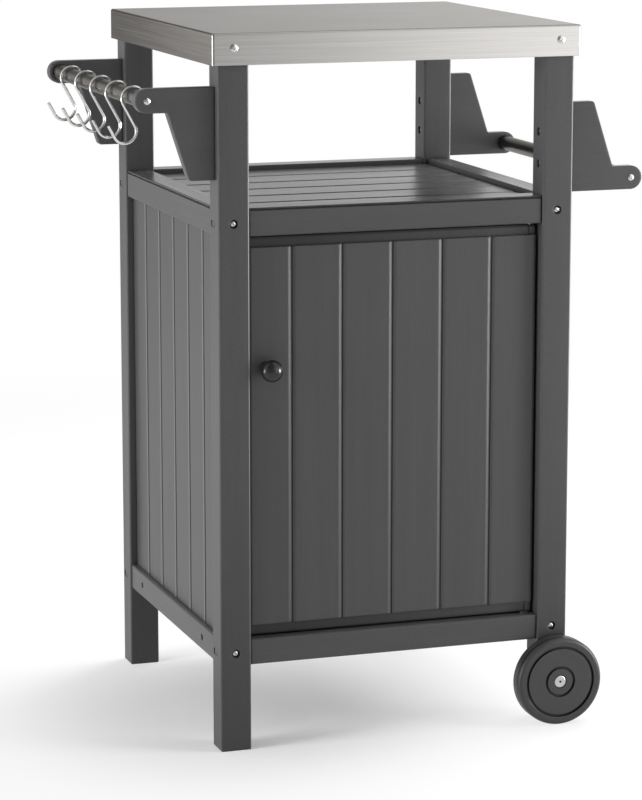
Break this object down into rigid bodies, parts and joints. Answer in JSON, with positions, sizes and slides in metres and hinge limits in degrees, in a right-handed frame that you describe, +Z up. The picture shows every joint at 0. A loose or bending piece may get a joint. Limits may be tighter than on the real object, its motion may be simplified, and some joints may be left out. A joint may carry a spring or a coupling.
{
  "type": "grill cart",
  "caption": "Wheeled outdoor grill cart with a steel worktop, open shelf, plank cabinet with a hinged door, side bars and swinging S hooks.",
  "frame": {"origin": "on the floor, under the middle of the worktop and of the four posts", "axes": "+X to the wheel side, +Y to the back, away from the door, and +Z up"},
  "size_m": [0.6859, 0.5158, 0.9],
  "materials": {
    "resin": "wood-grain texture",
    "worktop_steel": "brushed",
    "bar_steel": "brushed",
    "fastener_steel": "bright",
    "hook_steel": "polished",
    "knob_gloss": "glossy",
    "black_plastic": "satin",
    "wheel_plastic": "satin",
    "wheel_tyre": "satin"
  },
  "bodies": {
    "cart": {"worktop_pan": "worktop_steel", "worktop_core": "resin", "rim_screws": "fastener_steel", "shelf_board": "resin", "floor_board": "resin", "left_panel": "resin", "right_panel": "resin", "back_panel": "resin", "rail_bolts": "fastener_steel", "bracket_bolts": "fastener_steel", "left_bar": "bar_steel", "right_bar": "bar_steel", "bar_plugs": "black_plastic", "bar_screws": "fastener_steel", "door_washer": "black_plastic", "catch_case": "black_plastic", "axle_washers": "fastener_steel", "axle_caps": "fastener_steel", "front_left_post": "resin", "front_left_bracket": "resin", "front_right_post": "resin", "front_right_bracket": "resin", "front_axle": "fastener_steel", "back_left_post": "resin", "back_left_bracket": "resin", "back_right_post": "resin", "back_right_bracket": "resin", "back_axle": "fastener_steel", "front_upper_rail": "resin", "back_upper_rail": "resin", "left_upper_rail": "resin", "right_upper_rail": "resin", "front_lower_rail": "resin", "back_lower_rail": "resin", "left_lower_rail": "resin", "right_lower_rail": "resin"},
    "door": {"door_panel": "resin", "door_top_pin": "fastener_steel", "door_bottom_pin": "fastener_steel", "door_knob": "knob_gloss", "knob_screw": "fastener_steel", "catch_strike": "fastener_steel"},
    "front_wheel": {"front_wheel_hub": "wheel_plastic", "front_wheel_tyre": "wheel_tyre"},
    "back_wheel": {"back_wheel_hub": "wheel_plastic", "back_wheel_tyre": "wheel_tyre"},
    "hook_1_body": {"hook_1": "hook_steel"},
    "hook_2_body": {"hook_2": "hook_steel"},
    "hook_3_body": {"hook_3": "hook_steel"},
    "hook_4_body": {"hook_4": "hook_steel"},
    "hook_5_body": {"hook_5": "hook_steel"}
  },
  "joints": [
    {"name": "door_hinge", "type": "hinge", "parent": "cart", "child": "door", "pos_m": [0.183, -0.2115, 0.3965], "axis": [0, 0, 1], "range_deg": [0, 95]},
    {"name": "front_wheel_spin", "type": "hinge", "parent": "cart", "child": "front_wheel", "pos_m": [0.2161, -0.2459, 0.0575], "axis": [0, 1, 0], "continuous": true},
    {"name": "back_wheel_spin", "type": "hinge", "parent": "cart", "child": "back_wheel", "pos_m": [0.2161, 0.2459, 0.0575], "axis": [0, 1, 0], "continuous": true},
    {"name": "hook_1_swing", "type": "hinge", "parent": "cart", "child": "hook_1_body", "pos_m": [-0.3185, 0.144, 0.8196], "axis": [0, 1, 0], "range_deg": [-75, 75]},
    {"name": "hook_2_swing", "type": "hinge", "parent": "cart", "child": "hook_2_body", "pos_m": [-0.3185, 0.068, 0.8196], "axis": [0, 1, 0], "range_deg": [-75, 75]},
    {"name": "hook_3_swing", "type": "hinge", "parent": "cart", "child": "hook_3_body", "pos_m": [-0.3185, -0.008, 0.8196], "axis": [0, 1, 0], "range_deg": [-75, 75]},
    {"name": "hook_4_swing", "type": "hinge", "parent": "cart", "child": "hook_4_body", "pos_m": [-0.3185, -0.084, 0.8196], "axis": [0, 1, 0], "range_deg": [-75, 75]},
    {"name": "hook_5_swing", "type": "hinge", "parent": "cart", "child": "hook_5_body", "pos_m": [-0.3185, -0.16, 0.8196], "axis": [0, 1, 0], "range_deg": [-75, 75]}
  ]
}
